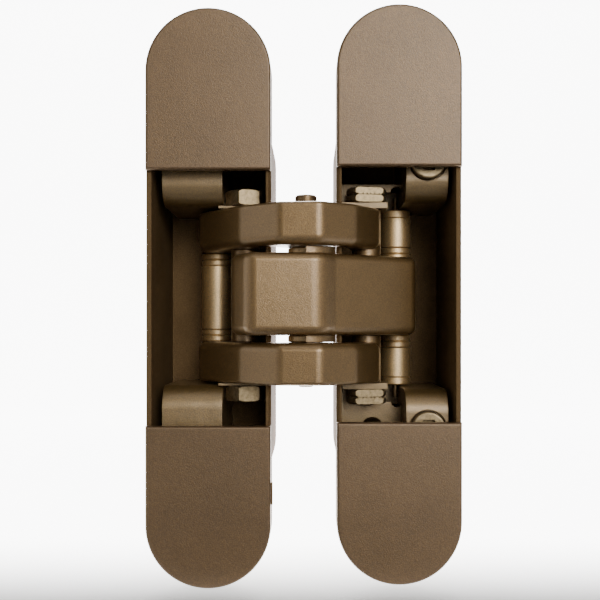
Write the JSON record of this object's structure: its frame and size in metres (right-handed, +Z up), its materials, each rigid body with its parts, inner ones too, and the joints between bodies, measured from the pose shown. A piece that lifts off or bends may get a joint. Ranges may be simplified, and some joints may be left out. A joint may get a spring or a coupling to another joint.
{
  "type": "concealed door hinge",
  "caption": "Concealed hinge with round-ended cases, deep pockets and crossed bow-shaped arms on pins, with screws under clipped caps and clamping nuts.",
  "frame": {"origin": "centre of the four screw holes of the frame's case, on the back plane of its shallow ends", "axes": "+Z up along the hinge, +Y into the wood away from the viewer, +X from the frame's case to the door's case, with the hinge fully open"},
  "size_m": [0.0606, 0.033, 0.1117],
  "materials": {
    "case_bronze": "satin bronze lacquer on cast zinc, fine metallic grain",
    "cap_bronze": "satin bronze lacquer, fine metallic grain",
    "insert_bronze": "satin bronze lacquer on cast zinc",
    "arm_bronze": "satin bronze lacquer, fine metallic grain",
    "pin_steel": "turned steel with a thin bronze tone",
    "washer_plastic": "dark brown low-friction plastic"
  },
  "bodies": {
    "frame": {"frame_case": "case_bronze", "frame_cap_upper": "cap_bronze", "frame_cap_lower": "cap_bronze"},
    "frame_carriage": {"frame_insert_upper": "insert_bronze", "frame_insert_lower": "insert_bronze", "frame_spindle": "pin_steel", "frame_link_axle": "pin_steel"},
    "frame_clamp_nut_upper": {"frame_clamp_nut_upper": "pin_steel"},
    "frame_clamp_nut_lower": {"frame_clamp_nut_lower": "pin_steel"},
    "central_arm": {"central_arm": "arm_bronze", "central_pin": "pin_steel", "central_washers": "washer_plastic", "door_link_pin": "pin_steel", "door_link_washers": "washer_plastic"},
    "outer_arms": {"outer_arm_upper": "arm_bronze", "outer_arm_lower": "arm_bronze", "frame_link_pin": "pin_steel", "frame_link_washers": "washer_plastic"},
    "frame_link": {"frame_link": "arm_bronze"},
    "door": {"door_case": "case_bronze", "door_cap_upper": "cap_bronze", "door_cap_lower": "cap_bronze", "door_insert_upper": "insert_bronze", "door_insert_lower": "insert_bronze", "door_spindle": "pin_steel", "door_link_axle": "pin_steel", "door_collars": "pin_steel"},
    "door_links": {"door_link_upper": "arm_bronze", "door_link_lower": "arm_bronze"},
    "door_lock_nut_upper": {"door_lock_nut_upper": "pin_steel"},
    "door_lock_nut_lower": {"door_lock_nut_lower": "pin_steel"},
    "door_socket_screw_upper": {"door_socket_screw_upper": "pin_steel"},
    "door_socket_screw_lower": {"door_socket_screw_lower": "pin_steel"}
  },
  "joints": [
    {"name": "height_slide", "type": "slide", "parent": "frame", "child": "frame_carriage", "axis": [0, 0, 1], "range_m": [-0.0017, 0.0003]},
    {"name": "fold", "type": "hinge", "parent": "frame_carriage", "child": "central_arm", "pos_m": [0.0066, 0.0026, 0], "axis": [0, 0, -1], "range_deg": [0, 106.92]},
    {"name": "outer_arm_turn", "type": "hinge", "parent": "central_arm", "child": "outer_arms", "pos_m": [0.0187, -0.002, 0], "axis": [0, 0, -1], "range_deg": [-33.85, 0.01]},
    {"name": "door_turn", "type": "hinge", "parent": "outer_arms", "child": "door", "pos_m": [0.0308, 0.0026, 0], "axis": [0, 0, -1], "range_deg": [-0.01, 106.93]},
    {"name": "frame_link_turn", "type": "hinge", "parent": "frame_carriage", "child": "frame_link", "pos_m": [0.0009, 0.01805, 0], "axis": [0, 0, -1], "range_deg": [-64.01, 0.01]},
    {"name": "door_link_turn", "type": "hinge", "parent": "door", "child": "door_links", "pos_m": [0.0365, 0.01805, 0], "axis": [0, 0, -1], "range_deg": [-0.01, 64.01]},
    {"name": "frame_clamp_nut_upper_turn", "type": "hinge", "parent": "frame_carriage", "child": "frame_clamp_nut_upper", "pos_m": [0.0066, 0.0026, 0], "axis": [0, 0, 1], "range_deg": [-180, 180]},
    {"name": "door_lock_nut_upper_turn", "type": "hinge", "parent": "door", "child": "door_lock_nut_upper", "pos_m": [0.0308, 0.0026, 0], "axis": [0, 0, 1], "range_deg": [-180, 180]},
    {"name": "door_socket_screw_upper_turn", "type": "hinge", "parent": "door", "child": "door_socket_screw_upper", "pos_m": [0.0426, 0.0026, 0.0268], "axis": [0, -1, 0], "range_deg": [-90, 90]},
    {"name": "frame_clamp_nut_lower_turn", "type": "hinge", "parent": "frame_carriage", "child": "frame_clamp_nut_lower", "pos_m": [0.0066, 0.0026, 0], "axis": [0, 0, 1], "range_deg": [-180, 180]},
    {"name": "door_lock_nut_lower_turn", "type": "hinge", "parent": "door", "child": "door_lock_nut_lower", "pos_m": [0.0308, 0.0026, 0], "axis": [0, 0, 1], "range_deg": [-180, 180]},
    {"name": "door_socket_screw_lower_turn", "type": "hinge", "parent": "door", "child": "door_socket_screw_lower", "pos_m": [0.0426, 0.0026, -0.0254], "axis": [0, -1, 0], "range_deg": [-90, 90]}
  ],
  "couplings": [
    {"joint": "outer_arm_turn", "follows": "fold", "ratio": -0.3165},
    {"joint": "door_turn", "follows": "fold", "ratio": 1},
    {"joint": "frame_link_turn", "follows": "fold", "ratio": -0.59862},
    {"joint": "door_link_turn", "follows": "fold", "ratio": 0.59862}
  ]
}
